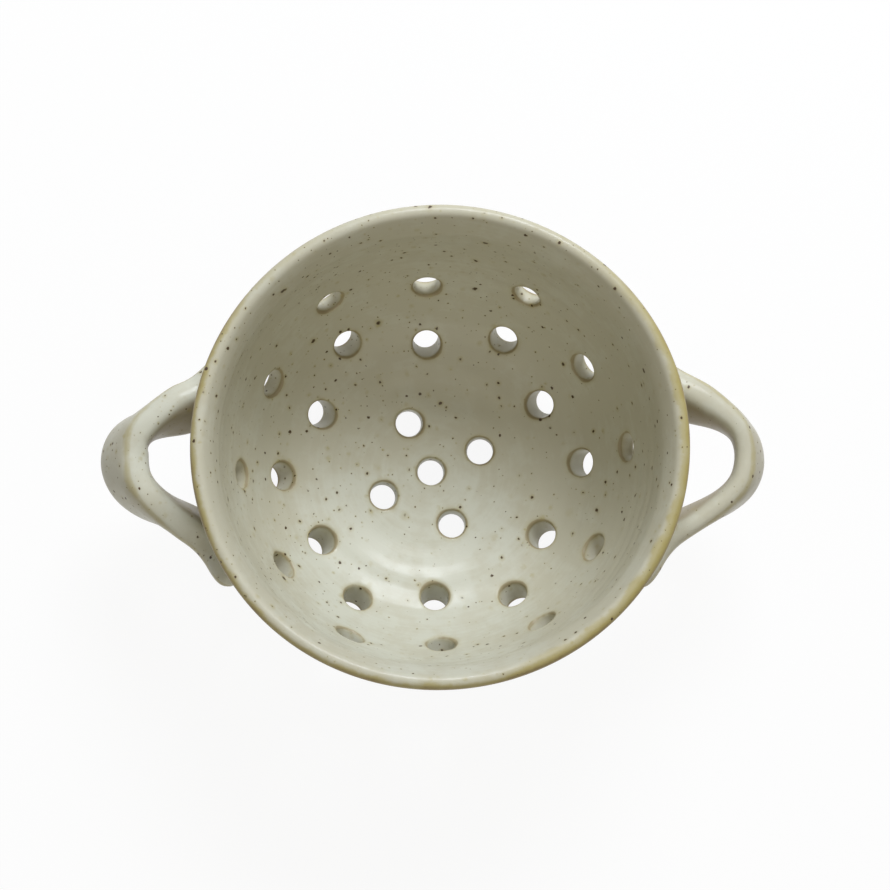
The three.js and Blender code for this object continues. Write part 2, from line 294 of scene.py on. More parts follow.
# Breaks over the lip, by the way inside its crest in millimetres, and the border where they all end below
# it. They set in between two values of the mark of nearness, and grow towards the right and the near side
# between two places, from one share to another.
CREST_BREAK = BreakAndShadeBand(start=3.4, full=1.2, ragged=0.3, strength=0.65)
OUTER_BREAKS = (
    BreakAndShadeBand(start=1.3, full=-0.5, ragged=0.22, strength=0.8),
    BreakAndShadeBand(start=-0.2, full=-1.9, ragged=0.2, strength=0.6, colour="brown_break_and_shade"),
)
LOW_BORDER = BreakAndShadeBand(start=-4.4, full=-2.6, ragged=0.22)
NEAR_LIP = (0.2, 0.4)
RIGHT_SIDE = (-10 * MM, 60 * MM, 0.1, 1.0)
NEAR_SIDE = (70 * MM, 20 * MM, 0.12, 1.0)

# Painted shade in brown on the straps' outer and inner faces, and a glaze break along the upper outer
# ridge, by the place across their section, and the way of that ridge there.
OUTER_FACE_PAINTED_SHADE = BreakAndShadeBand(start=0.45, full=0.85, ragged=0.3, strength=0.15, colour="brown_break_and_shade")
INNER_FACE_PAINTED_SHADE = BreakAndShadeBand(start=-0.5, full=-0.85, ragged=0.2, strength=0.55, colour="brown_break_and_shade")
RIDGE_BREAK = BreakAndShadeBand(start=0.95, full=1.01, ragged=0.12, strength=0.5)
RIDGE_UP = 0.8
RIDGE_OUT = 0.6
BAND_BORDER_SIZE = 9 * MM


def length_setting(name, description, millimetres):
    """A length that the panel shows."""
    return bpy.props.FloatProperty(
        name=name, description=description, default=millimetres * MM, unit="LENGTH"
    )


def colour_setting(name, description, default):
    """A colour that the panel shows."""
    return bpy.props.FloatVectorProperty(
        name=name, description=description, default=default, subtype="COLOR"
    )


class BowlSizes(bpy.types.PropertyGroup):
    """Sizes of the bowl and its foot."""

    rim_diameter: length_setting("Rim Diameter", "Outside of the lip, its mean way across", 151.4)
    rim_oval: bpy.props.FloatProperty(
        name="Rim Oval",
        description="Share by which the rim is longer one way and shorter the other",
        default=0.0123,
        precision=4,
    )
    rim_turn: bpy.props.FloatProperty(
        name="Rim Turn",
        description="Azimuth of the rim's long way",
        default=math.radians(14),
        subtype="ANGLE",
    )
    height: length_setting("Height", "From the table to the rim", 84)
    floor_radius: length_setting("Floor Radius", "From the axis to where the wall begins", 35.6)
    floor_thickness: length_setting("Floor Thickness", "Clay between the floor and the base", 8)
    lip_thickness: length_setting("Lip Thickness", "Wall thickness at the half-round lip", 4.8)
    hole_diameter: length_setting("Hole Diameter", "Width of the cutter for the drain holes", 9.5)
    mouth_rounding: length_setting("Mouth Rounding", "How far each hole's edge is sponged round", 0.9)
    foot_height: length_setting("Foot Height", "From the table to the base", 5.5)


class StrapSizes(bpy.types.PropertyGroup):
    """Sizes of the strap handles."""

    span: length_setting("Span", "Over both handles", 216)
    width: length_setting("Strap Width", "Height of the strap's section where it is widest", 21)
    left_thickness: length_setting("Left Thickness", "Thickness of the left strap's section", 10.8)
    right_thickness: length_setting("Right Thickness", "Thickness of the right strap's section", 8.6)


class FinishColours(bpy.types.PropertyGroup):
    """Colours of the glaze and the clay."""

    thick_glaze: colour_setting("Thick Glaze", "Where the glaze pools", (0.572, 0.57, 0.475))
    thin_glaze: colour_setting("Thin Glaze", "Where the clay warms a thin glaze", (0.51, 0.488, 0.378))
    tan_break: colour_setting("Tan Break", "Where the glaze breaks on an edge", (0.37, 0.305, 0.095))
    # Brown Break also colours the painted shade on the straps' outer and inner faces.
    brown_break_and_shade: colour_setting("Brown Break", "Where an edge is almost bare", (0.2, 0.125, 0.035))
    iron: colour_setting("Iron Speck", "Iron that melts through the glaze", (0.065, 0.038, 0.016))
    bare_clay: colour_setting("Bare Clay", "Unglazed fired stoneware", (0.56, 0.43, 0.3))


def lerp(start, end, share):
    return start + (end - start) * share


def clamp(value, lowest=0.0, highest=1.0):
    return max(lowest, min(highest, value))


def smoothstep(value, start, end):
    share = clamp((value - start) / (end - start))
    return share * share * (3 - 2 * share)


def rising(angle):
    return Vector((math.cos(angle), math.sin(angle)))


class WallProfile:
    """The thrown wall in section: its inside line from the axis to the lip, read by arc length."""

    def __init__(self, sizes):
        rim_radius = sizes.rim_diameter / 2
        floor_level = sizes.foot_height + sizes.floor_thickness
        half_lip = sizes.lip_thickness / 2
        neck_way = rising(NECK_ANGLE)
        lip_way = rising(LIP_ANGLE)
        floor_edge = Vector((sizes.floor_radius, floor_level))
        neck = Vector((rim_radius - NECK_INSET, sizes.height - NECK_DROP))
        lip = Vector((rim_radius - half_lip * (1 + lip_way.y), sizes.height - half_lip * (1 - lip_way.x)))
        knee = Vector((lerp(floor_edge.x, neck.x, KNEE_PULL), floor_level))
        upper_wall = neck - neck_way * WALL_PULL * (neck.y - floor_level)
        flare = FLARE_PULL * (lip - neck).length
        wall = interpolate_bezier(floor_edge, knee, upper_wall, neck, PROFILE_POINTS)
        flare_pulls = (neck + neck_way * flare, lip - lip_way * flare)
        flared = interpolate_bezier(neck, *flare_pulls, lip, PROFILE_POINTS)
        self.sizes = sizes
        self.floor_arc = sizes.floor_radius
        self.measure([Vector((0, floor_level)), *wall, *flared[1:]])
        self.measure(self.eased_knee())

    def measure(self, points):
        """Takes a line's points and their arc lengths from the axis."""
        self.points = points
        self.arcs = [0.0]
        for before, after in zip(points, points[1:]):
            self.arcs.append(self.arcs[-1] + (after - before).length)
        self.length = self.arcs[-1]

    def eased_knee(self):
        """The line with the knee between floor and wall eased, each point a mean of its surroundings."""
        eased = []
        around = range(-EASE_SAMPLES, EASE_SAMPLES + 1)
        for step in range(2 * PROFILE_POINTS + 1):
            arc = self.length * step / (2 * PROFILE_POINTS)
            reach = KNEE_EASE * (1 - smoothstep(arc, self.floor_arc, self.floor_arc + KNEE_EASE_ENDS))
            reach = min(reach, arc)
            nearby = [self.inside(arc + reach * side / EASE_SAMPLES) for side in around]
            eased.append(sum(nearby, Vector((0, 0))) / len(around) + Vector((0, self.dish(arc))))
        return eased

    def dish(self, arc):
        """How far the thrown floor sinks in the middle and rises at its edge."""
        if arc < self.floor_arc:
            return FLOOR_DISH * ((arc / self.floor_arc) ** 2 - 0.5)
        return FLOOR_DISH / 2 * (1 - smoothstep(arc, self.floor_arc, self.floor_arc + KNEE_EASE_ENDS))

    def inside(self, arc):
        index = min(max(bisect_right(self.arcs, arc) - 1, 0), len(self.arcs) - 2)
        share = (arc - self.arcs[index]) / (self.arcs[index + 1] - self.arcs[index])
        return self.points[index].lerp(self.points[index + 1], share)

    def along(self, arc):
        ahead = self.inside(min(arc + SLOPE_REACH, self.length))
        behind = self.inside(max(arc - SLOPE_REACH, 0))
        return (ahead - behind).normalized()

    def outward(self, arc):
        way = self.along(arc)
        return Vector((way.y, -way.x))

    def thickness(self, arc):
        share = (arc - self.floor_arc) / (self.length - self.floor_arc)
        thinned = smoothstep(share, WALL_THINS_FROM, WALL_THINS_TO)
        return lerp(self.sizes.floor_thickness, self.sizes.lip_thickness, thinned) + self.dish(arc)

    def through(self, arc, depth):
        """The section's point at a depth from 0, the inside, to 1, the outside."""
        return self.inside(arc) + self.outward(arc) * self.thickness(arc) * depth

    def lip_round(self, turn):
        """A point of the lip's half round, from 0 at the inside to 1 at the outside."""
        middle = self.through(self.length, 0.5)
        half = self.sizes.lip_thickness / 2
        across = self.outward(self.length) * -math.cos(math.pi * turn)
        over = self.along(self.length) * math.sin(math.pi * turn)
        return middle + (across + over) * half

    def outside_radius(self, height):
        """The outside radius at a height on the wall."""
        low, high = self.floor_arc, self.length
        for _ in range(RADIUS_HALVINGS):
            middle = (low + high) / 2
            if self.through(middle, 1).y < height:
                low = middle
            else:
                high = middle
        return self.through(low, 1).x


class DrainHole:
    """A hole's place on the unrolled wall, and its bore, which leans out from square to the wall."""

    def __init__(self, profile, arc, azimuth, lean=0.0):
        self.arc = arc
        self.azimuth = azimuth
        self.radius = profile.sizes.hole_diameter / 2
        way = profile.along(arc)
        self.cone = profile.inside(arc).x / way.x
        self.narrowing = way.x
        slope = math.atan2(way.y, way.x)
        self.square = turned(Vector((math.sin(slope), -math.cos(slope))), azimuth)
        self.axis = turned(Vector((math.sin(slope + lean), -math.cos(slope + lean))), azimuth)
        self.thickness = profile.thickness(arc)
        self.mouth = ovalled(profile.sizes, turned(profile.inside(arc), azimuth))

    def step_to(self, point):
        """The step from the hole's centre to a point of the flat sheet: up the wall, and round it."""
        arc, azimuth = arc_and_azimuth(point)
        turn = (azimuth - self.azimuth + math.pi) % (2 * math.pi) - math.pi
        reach = self.cone + arc - self.arc
        narrowed = turn * self.narrowing
        return Vector((reach * math.cos(narrowed) - self.cone, reach * math.sin(narrowed)))

    def place_at(self, step):
        """The flat sheet's point a step away from the hole's centre."""
        reach = Vector((self.cone + step.x, step.y))
        arc = self.arc + reach.length - self.cone
        azimuth = self.azimuth + math.atan2(reach.y, reach.x) / self.narrowing
        return Vector((arc * math.cos(azimuth), arc * math.sin(azimuth), 0))

    def level_and_side(self, point):
        """How deep a point lies below the wall's inside, and the way to it from the bore's axis there."""
        offset = point - self.mouth
        level = offset.dot(self.square)
        return level, offset - self.axis * level / self.axis.dot(self.square)


def arc_and_azimuth(point):
    return math.hypot(point.x, point.y), math.atan2(point.y, point.x)


def turned(section, azimuth):
    return Vector((section.x * math.cos(azimuth), section.x * math.sin(azimuth), section.y))


def ovalled(sizes, point):
    """Where a point of a round bowl lies on the oval one, drawn out of round more towards the rim."""
    share = sizes.rim_oval * (point.z / sizes.height) ** 2
    long_way = math.cos(2 * sizes.rim_turn)
    skew = math.sin(2 * sizes.rim_turn)
    return Vector((
        point.x + share * (point.x * long_way + point.y * skew),
        point.y + share * (point.x * skew - point.y * long_way),
        point.z,
    ))


def drain_holes(profile):
    """Every hole but the one on the axis."""
    rings = [(FLOOR_RING_SHARE * profile.floor_arc, 0, FLOOR_RING_HOLES)]
    for share, lean, ring in WALL_RINGS:
        rings.append((lerp(profile.floor_arc, profile.length, share), lean, ring))
    return [
        DrainHole(profile, arc + stray * MM, math.radians(azimuth), math.radians(lean))
        for arc, lean, ring in rings
        for azimuth, stray in ring
    ]


def turn_round_axis(bm, row, edges):
    """Turns a row of points and edges once round the upright axis."""
    bmesh.ops.spin(
        bm,
        geom=row + edges,
        axis=(0, 0, 1),
        cent=(0, 0, 0),
        angle=2 * math.pi,
        steps=TURN_STEPS,
        use_merge=True,
    )
    bmesh.ops.remove_doubles(bm, verts=bm.verts, dist=TOUCH)


def round_edges(bm, edges, offset, segments):
    bmesh.ops.bevel(
        bm,
        geom=edges,
        offset=offset,
        offset_type="OFFSET",
        segments=segments,
        profile=0.5,
        affect="EDGES",
        material=-1,
    )


def right_side_out(bm, name):
    """The mesh itself, once its faces are known to look outwards."""
    if bm.calc_volume(signed=True) <= 0:
        raise RuntimeError(f"{name} is inside out")
    return bm


def unrolled_sheet(profile):
    """The wall's inside as a flat ring of faces, its arc length as radius and the axis hole left open."""
    bm = bmesh.new()
    start = profile.sizes.hole_diameter / 2
    first = start + MOUTH_GUARD
    count = round((profile.length - first) / RING_SPACING)
    arcs = [start] + [lerp(first, profile.length, step / count) for step in range(count + 1)]
    row = [bm.verts.new((arc, 0, 0)) for arc in arcs]
    edges = [bm.edges.new(pair) for pair in zip(row, row[1:])]
    turn_round_axis(bm, row, edges)
    return bm


def open_hole(bm, hole):
    """Opens one hole in the flat sheet, with a round mouth and an even guard ring of faces round it."""
    distance = {vert: hole.step_to(vert.co).length for vert in bm.verts}
    cleared = hole.radius + HOLE_CLEARANCE
    inside = [face for face in bm.faces if min(distance[vert] for vert in face.verts) < cleared]
    bmesh.ops.delete(bm, geom=inside, context="FACES")
    around = cleared + 2 * RING_SPACING
    loop = [
        edge for edge in bm.edges
        if edge.is_boundary and max(distance[vert] for vert in edge.verts) < around
    ]
    guard = []
    for vert in {vert for edge in loop for vert in edge.verts}:
        step = hole.step_to(vert.co)
        guard.append((math.atan2(step.y, step.x), vert.index, vert))
    guard.sort(key=lambda item: item[:2])
    even = 2 * math.pi / len(guard)
    phase = sum(angle - even * place for place, (angle, _, _) in enumerate(guard)) / len(guard)
    for place, (_, _, vert) in enumerate(guard):
        vert.co = hole.place_at(rising(phase + even * place) * (hole.radius + MOUTH_GUARD))
    neighbours = [
        vert for vert in bm.verts
        if not vert.is_boundary and distance[vert] < hole.radius + SMOOTHED_AROUND_HOLE
    ]
    for _ in range(SMOOTHING_ROUNDS):
        bmesh.ops.smooth_vert(
            bm, verts=neighbours, factor=SMOOTHING_SHARE, use_axis_x=True, use_axis_y=True
        )
    for vert in bmesh.ops.extrude_edge_only(bm, edges=loop)["geom"]:
        if isinstance(vert, bmesh.types.BMVert):
            vert.co = hole.place_at(hole.step_to(vert.co).normalized() * hole.radius)


def noise_round(azimuth, circle, height):
    """Noise on a circle of a given radius, which closes on itself round the bowl."""
    return noise.noise(Vector((math.cos(azimuth) * circle, math.sin(azimuth) * circle, height)))


def thrown_relief(arc, azimuth, outside):
    """How far the thrower's fingers and the hand moved the wall at a place, in metres."""
    turns = azimuth / (2 * math.pi)
    slow = noise_round(azimuth, RIDGE_DRIFT_CIRCLE, arc / RIDGE_DRIFT_SIZE + OUTSIDE_NOISE * outside)
    ridge = math.sin(2 * math.pi * (arc / THROWING_PITCH + turns) + RIDGE_DRIFT * slow)
    waver = noise_round(azimuth, HAND_WAVER_CIRCLE, arc / HAND_WAVER_SIZE + HAND_NOISE)
    return THROWING_DEPTH * ridge * (THROWING_DEPTH_MEAN + slow) + HAND_WAVER * waver


def bowl_place(profile, hole, arc, azimuth, depth):
    """Where a point of the flat slab lies on the bowl."""
    on_lip = arc > profile.length - TOUCH
    if on_lip:
        section = profile.lip_round(depth)
    elif hole:
        section = profile.inside(arc)
    else:
        section = profile.through(arc, depth)
    lift = smoothstep(arc, profile.floor_arc * RIM_WAVER_FROM, profile.length)
    relief = thrown_relief(arc, azimuth, depth > 0.5) * smoothstep(arc, 0, profile.floor_arc)
    section = section + profile.outward(arc) * relief
    section.y += RIM_WAVER * lift * noise_round(azimuth, RIM_WAVER_CIRCLE, RIM_NOISE)
    point = ovalled(profile.sizes, turned(section, azimuth))
    if hole and not on_lip:
        square = turned(profile.outward(arc), azimuth).dot(hole.axis)
        point += hole.axis * depth * profile.thickness(arc) / square
        side = hole.level_and_side(point)[1]
        point -= side.normalized() * GLAZE_IN_BORE * smoothstep(depth, 0, BORE_COATED_BY)
    return point


def way_over_lip(profile, arc, depth):
    """The way from the lip's crest, more than 0 towards the inside, as a share of the mark's reach."""
    half_turn = math.pi * profile.sizes.lip_thickness / 4
    if arc > profile.length - TOUCH:
        way = half_turn * (1 - 2 * depth)
    else:
        way = (half_turn + profile.length - arc) * (1 if depth < 0.5 else -1)
    return clamp(way / LIP_MARK_REACH, -1, 1)


def mouth_mark(holes, point):
    """How near a point is to the edge of a hole: 1 on the edge and 0 away from it."""
    nearest = MOUTH_MARK_REACH
    for hole in holes:
        level, side = hole.level_and_side(point)
        beside = side.length - hole.radius
        if abs(beside) < nearest:
            nearest = min(nearest, math.hypot(beside, level), math.hypot(beside, level - hole.thickness))
    return 1 - nearest / MOUTH_MARK_REACH


def pierced_slab(profile, holes):
    """The wall as a flat slab with its holes open, and with the layers of marks for its lip."""
    bm = unrolled_sheet(profile)
    for mark in ("lip_place", "lip_near"):
        bm.verts.layers.float.new(mark)
    for hole in holes:
        open_hole(bm, hole)
    bmesh.ops.recalc_face_normals(bm, faces=bm.faces)
    grown = bmesh.ops.extrude_face_region(bm, geom=bm.faces[:], use_keep_orig=True)["geom"]
    base = [item for item in grown if isinstance(item, bmesh.types.BMVert)]
    bmesh.ops.translate(bm, verts=base, vec=(0, 0, -SLAB))
    bmesh.ops.recalc_face_normals(bm, faces=bm.faces)
    at_lip = []
    in_tunnel = []
    for edge in bm.edges:
        first, second = edge.verts
        if abs(first.co.z - second.co.z) > TOUCH:
            outermost = arc_and_azimuth(first.co)[0] > profile.length - TOUCH
            (at_lip if outermost else in_tunnel).append(edge)
    bmesh.ops.subdivide_edges(bm, edges=at_lip, cuts=LIP_CUTS, use_grid_fill=True)
    bmesh.ops.subdivide_edges(bm, edges=in_tunnel, cuts=TUNNEL_CUTS, use_grid_fill=True)
    return bm


def pierced_bowl(profile):
    """The bowl's mesh: the pierced slab is rolled up into the wall, and its mouths are rounded."""
    holes = drain_holes(profile)
    bm = pierced_slab(profile, holes)
    on_axis = DrainHole(profile, arc=TOUCH, azimuth=0)
    holes.insert(0, on_axis)
    lip_layer = bm.verts.layers.float["lip_place"]
    near_layer = bm.verts.layers.float["lip_near"]
    bore = set()
    for face in bm.faces:
        levels = [vert.co.z for vert in face.verts]
        if max(levels) - min(levels) > TOUCH:
            bore.add(face)
    bore_verts = {vert for face in bore for vert in face.verts}
    mouths = []
    for edge in bm.edges:
        arc = arc_and_azimuth(edge.verts[0].co)[0]
        if arc < profile.length - TOUCH and sum(face in bore for face in edge.link_faces) == 1:
            mouths.append(edge)
    for vert in bm.verts:
        arc, azimuth = arc_and_azimuth(vert.co)
        depth = -vert.co.z / SLAB
        hole = None
        if vert in bore_verts and arc < profile.length - TOUCH:
            hole = min(holes, key=lambda each: each.step_to(vert.co).length)
        way = way_over_lip(profile, arc, depth)
        vert[lip_layer] = 0.5 + way / 2
        vert[near_layer] = 1 - abs(way)
        vert.co = bowl_place(profile, hole, arc, azimuth, depth)
    bm.normal_update()
    round_edges(bm, mouths, profile.sizes.mouth_rounding, MOUTH_SEGMENTS)
    mouth_layer = bm.verts.layers.float.new("mouth_near")
    for vert in bm.verts:
        vert[mouth_layer] = mouth_mark(holes, vert.co)
    return right_side_out(bm, "the bowl")


def centripetal_point(points, share):
    """A point of the centripetal spline through a row of points."""
    last = len(points) - 1
    index = min(int(share * last), last - 1)
    weight = share * last - index
    before = points[index - 1] if index > 0 else points[0] * 2 - points[1]
    start, end = points[index], points[index + 1]
    after = points[index + 2] if index + 2 <= last else points[last] * 2 - points[last - 1]
    row = (before, start, end, after)
    spans = [max((second - first).length ** 0.5, TOUCH) for first, second in zip(row, row[1:])]
    first_span, span, last_span = spans
    middle = (end - start) / span
    leave = ((start - before) / first_span - (end - before) / (first_span + span) + middle) * span
    arrive = (middle - (after - start) / (span + last_span) + (after - end) / last_span) * span
    square, cube = weight ** 2, weight ** 3
    return (
        start * (2 * cube - 3 * square + 1)
        + leave * (cube - 2 * square + weight)
        + end * (3 * square - 2 * cube)
        + arrive * (cube - square)
    )


def eased_point(points, share):
    """A point of the spline with its bends eased, as a mean of the points around it."""
    reach = min(LINE_EASE, share, 1 - share)
    around = range(-LINE_SAMPLES, LINE_SAMPLES + 1)
    nearby = [centripetal_point(points, share + reach * side / LINE_SAMPLES) for side in around]
    return sum(nearby, Vector()) / len(around)


def strap_thickness(strap, handle):
    return strap.right_thickness if handle["side"] > 0 else strap.left_thickness


def section_reach(strap, handle):
    """How far the leaning section stands out from its centre at the outermost point."""
    lean = math.radians(handle["tip_lean"])
    power = handle["exponent"] / (handle["exponent"] - 1)
    by_thickness = abs(strap_thickness(strap, handle) / 2 * math.cos(lean)) ** power
    by_width = abs(strap.width / 2 * math.sin(lean)) ** power
    return (by_thickness + by_width) ** (1 / power)


def handle_line(profile, strap, handle):
    """The strap's centre line from its far tail over the outermost point to its near tail."""
    wall_radius = profile.outside_radius(HANDLE_MIDDLE + HANDLE_RISE)
    reach = strap.span / 2 - section_reach(strap, handle) - wall_radius

    def place(azimuth, standoff, rise):
        height = HANDLE_MIDDLE + rise
        radius = profile.outside_radius(height) + standoff
        return turned(Vector((radius, height)), math.radians(azimuth))

    def half(way, root):
        line = [
            place(way * root["spread"] * azimuth, share * reach, share * HANDLE_RISE)
            for azimuth, share in HANDLE_LINE
        ]
        heel = place(way * root["spread"] * HEEL_AZIMUTH, HEEL_STANDOFF, 0)
        tail = place(way * root["tail"], TAIL_THICKNESS / 2 - root["sink"], root["rise"])
        return [*line, heel, tail]

    return [*reversed(half(1, handle["far"])), *half(-1, handle["near"])[1:]]


def strap_frame(line, strap, handle, share):
    """The matrix that lays a unit section across the centre line at a share of its length."""
    half_station = 0.5 / STRAP_STATIONS
    centre = eased_point(line, share)
    ahead = eased_point(line, min(share + half_station, 1))
    behind = eased_point(line, max(share - half_station, 0))
    tangent = (ahead - behind).normalized()
    from_tip = abs(2 * share - 1)
    root = handle["far"] if share < 0.5 else handle["near"]
    lean = math.radians(lerp(handle["tip_lean"], root["lean"], smoothstep(from_tip, 0, LEAN_TURNED_BY)))
    tail = smoothstep(from_tip, TAIL_FROM, 1)
    past = max(0, (from_tip - 1) / TAIL_ROUNDING + 1)
    rounding = max(TAIL_END_SHARE, math.sqrt(max(0, 1 - past ** 2)))
    half_width = rounding * lerp(strap.width, TAIL_WIDTH, tail) / 2
    belly = root["belly"] * smoothstep(from_tip, BELLY_FROM, BELLY_FULL)
    thickness = lerp(strap_thickness(strap, handle), TAIL_THICKNESS, tail) + belly
    half_thickness = rounding * thickness / 2
    up = Vector((0, 0, 1))
    away = -tangent.cross(up).normalized()
    across = (up * math.cos(lean) - away * math.sin(lean)).normalized()
    through = across.cross(tangent).normalized()
    columns = Matrix((through * half_thickness, across * half_width, tangent * half_thickness))
    return Matrix.Translation(centre) @ columns.transposed().to_4x4()


def station_shares():
    """Even stations along the strap, closer together where the tails round off."""
    even = [station / STRAP_STATIONS for station in range(STRAP_STATIONS + 1)]
    return [share - STATION_PULL * math.sin(4 * math.pi * share) / math.pi for share in even]


def seat_on_wall(profile, bm, centres):
    """Spreads the strap where it meets the wall, as slip and a finger do."""
    for vert in bm.verts:
        radius = math.hypot(vert.co.x, vert.co.y)
        stand = radius - profile.outside_radius(vert.co.z)
        near = clamp(1 - stand / SEAM_HEIGHT)
        if near <= 0:
            continue
        centre = min(centres, key=lambda point: (point - vert.co).length_squared)
        out = Vector((vert.co.x, vert.co.y, 0)).normalized()
        spread = vert.co - centre
        spread -= out * spread.dot(out)
        if spread.length > TOUCH:
            vert.co += spread.normalized() * SEAM_SPREAD * near ** 2


def strap_handle(profile, strap, handle):
    """A strap handle's mesh: one section drawn along the centre line by a row of extrusions."""
    line = handle_line(profile, strap, handle)
    frames = [strap_frame(line, strap, handle, share) for share in station_shares()]
    bm = bmesh.new()
    bmesh.ops.create_circle(bm, cap_ends=True, segments=SECTION_POINTS, radius=1)
    up_layer = bm.verts.layers.float.new("strap_up")
    out_layer = bm.verts.layers.float.new("strap_out")
    for vert in bm.verts:
        vert[up_layer] = vert.co.y
        vert[out_layer] = vert.co.x
        for axis in (0, 1):
            vert.co[axis] = math.copysign(abs(vert.co[axis]) ** (2 / handle["exponent"]), vert.co[axis])
    bmesh.ops.transform(bm, matrix=frames[0], verts=bm.verts)
    cap = bm.faces[:]
    for before, after in zip(frames, frames[1:]):
        grown = bmesh.ops.extrude_face_region(bm, geom=cap, use_keep_orig=True)["geom"]
        if before is not frames[0]:
            bmesh.ops.delete(bm, geom=cap, context="FACES_ONLY")
        verts = [item for item in grown if isinstance(item, bmesh.types.BMVert)]
        cap = [item for item in grown if isinstance(item, bmesh.types.BMFace)]
        bmesh.ops.transform(bm, matrix=after @ before.inverted(), verts=verts)
    seat_on_wall(profile, bm, [matrix.translation for matrix in frames])
    bmesh.ops.recalc_face_normals(bm, faces=bm.faces)
    bm.normal_update()
    for vert in bm.verts:
        vert.co += vert.normal * noise.noise(vert.co / STRAP_WAVER_SIZE) * STRAP_WAVER
    bmesh.ops.scale(bm, vec=(handle["side"], 1, 1), verts=bm.verts)
    bmesh.ops.recalc_face_normals(bm, faces=bm.faces)
    return right_side_out(bm, "a strap handle")


def foot_ring(sizes):
    """The foot's mesh: its section's outline, turned round the axis."""
    outer = sizes.floor_radius - FOOT_INSET
    inner = outer - FOOT_WIDTH
    top = sizes.foot_height + FOOT_BEDDING
    bm = bmesh.new()
    corners = ((inner, top), (inner + FOOT_TAPER, 0), (outer - FOOT_TAPER, 0), (outer, top))
    row = [bm.verts.new((radius, 0, height)) for radius, height in corners]
    edges = [bm.edges.new(pair) for pair in zip(row, row[1:] + row[:1])]
    turn_round_axis(bm, row, edges)
    bmesh.ops.recalc_face_normals(bm, faces=bm.faces)
    standing = [
        edge for edge in bm.edges
        if all(vert.co.z < TOUCH for vert in edge.verts)
        and abs(edge.link_faces[0].normal.z - edge.link_faces[1].normal.z) > FOLD
    ]
    round_edges(bm, standing, FOOT_ROUNDING, FOOT_SEGMENTS)
    return right_side_out(bm, "the foot ring")


def finished_piece(name, bm, material, smoothing=0):
    """A smooth-shaded object made of a bmesh, at the origin."""
    mesh = bpy.data.meshes.new(name)
    bm.to_mesh(mesh)
    bm.free()
    mesh.shade_smooth()
    mesh.materials.append(material)
    piece = bpy.data.objects.new(name, mesh)
    bpy.context.scene.collection.objects.link(piece)
    if smoothing:
        modifier = piece.modifiers.new("Smoothed Clay", "SUBSURF")
        modifier.levels = smoothing
        modifier.render_levels = smoothing
    return piece


def add_node(tree, kind, values=None, **settings):
    """Adds a kind of shader node, sets its properties, and sets or links its inputs by name or number."""
    node = tree.nodes.new(f"ShaderNode{kind}")
    for name, value in settings.items():
        setattr(node, name, value)
    for socket, value in (values or {}).items():
        if isinstance(value, bpy.types.NodeSocket):
            tree.links.new(value, node.inputs[socket])
        else:
            node.inputs[socket].default_value = value
    return node


def add_math(tree, operation, first, second=0.0, clamped=False):
    values = {0: first, 1: second}
    return add_node(tree, "Math", values, operation=operation, use_clamp=clamped).outputs[0]


def add_sum(tree, first, second):
    return add_math(tree, "ADD", first, second)


def add_product(tree, first, second):
    return add_math(tree, "MULTIPLY", first, second)


def add_vector_math(tree, operation, *values):
    return add_node(tree, "VectorMath", dict(enumerate(values)), operation=operation).outputs


def add_mix(tree, share, first, second):
    return add_node(tree, "Mix", {0: share, 6: first, 7: second}, data_type="RGBA").outputs[2]


def add_ramp(tree, value, start, end, low=0.0, high=1.0):
    """A smooth step of a value from low at start to high at end."""
    values = {"Value": value, "From Min": start, "From Max": end, "To Min": low, "To Max": high}
    return add_node(tree, "MapRange", values, interpolation_type="SMOOTHSTEP").outputs[0]


def add_noise(tree, vector, size, detail=2.0, roughness=0.5):
    """Noise with features of about a size in metres."""
    values = {"Vector": vector, "Scale": 1 / size, "Detail": detail, "Roughness": roughness}
    return add_node(tree, "TexNoise", values).outputs[0]


def axis_parts(tree, vector):
    return add_node(tree, "SeparateXYZ", {0: vector}).outputs


def level_part(tree, vector):
    return add_vector_math(tree, "MULTIPLY", vector, (1, 1, 0))["Vector"]


def new_group(name, inputs, outputs):
    """A shader node group that takes a place and named numbers and puts out named numbers."""
    group = bpy.data.node_groups.new(name, "ShaderNodeTree")
    group.interface.new_socket("Vector", in_out="INPUT", socket_type="NodeSocketVector")
    for way, labels in (("INPUT", inputs), ("OUTPUT", outputs)):
        for label in labels:
            group.interface.new_socket(label, in_out=way, socket_type="NodeSocketFloat")
    return group, group.nodes.new("NodeGroupInput").outputs, group.nodes.new("NodeGroupOutput").inputs


def iron_speckle_group():
    """Specks of iron in the glaze: scattered dark cores, each with a softer stain round it."""
    group, entry, leave = new_group("Iron Speckle", ("Spacing", "Size", "Share"), ("Core", "Stain"))
    spacing = add_node(group, "CombineXYZ", {axis: entry["Spacing"] for axis in range(3)})
    scaled = add_vector_math(group, "DIVIDE", entry["Vector"], spacing.outputs[0])["Vector"]
    values = {"Vector": scaled, "Scale": SPECK_EDGE_SCALE, "Detail": 3.0}
    ragged = add_node(group, "TexNoise", values).outputs["Color"]
    centred = add_vector_math(group, "SUBTRACT", ragged, [NOISE_MEAN] * 3)["Vector"]
    shifted = add_vector_math(group, "MULTIPLY_ADD", centred, [SPECK_RAGGEDNESS] * 3, scaled)["Vector"]
    cells = add_node(group, "TexVoronoi", {"Vector": shifted, "Scale": 1.0}, feature="F1").outputs
    chance = add_node(group, "SeparateColor", {0: cells["Color"]}).outputs
    size = add_ramp(group, chance["Red"], 0.0, 1.0, SMALLEST_SPECK, 1.0)
    radius = add_product(group, size, entry["Size"])
    present = add_math(group, "LESS_THAN", chance["Green"], entry["Share"])
    distance = add_math(group, "DIVIDE", cells["Distance"], radius)
    core = add_product(group, add_ramp(group, distance, *CORE_FADE), present)
    stain = add_product(group, add_ramp(group, distance, *STAIN_FADE), present)
    group.links.new(core, leave["Core"])
    group.links.new(add_product(group, stain, chance["Blue"]), leave["Stain"])


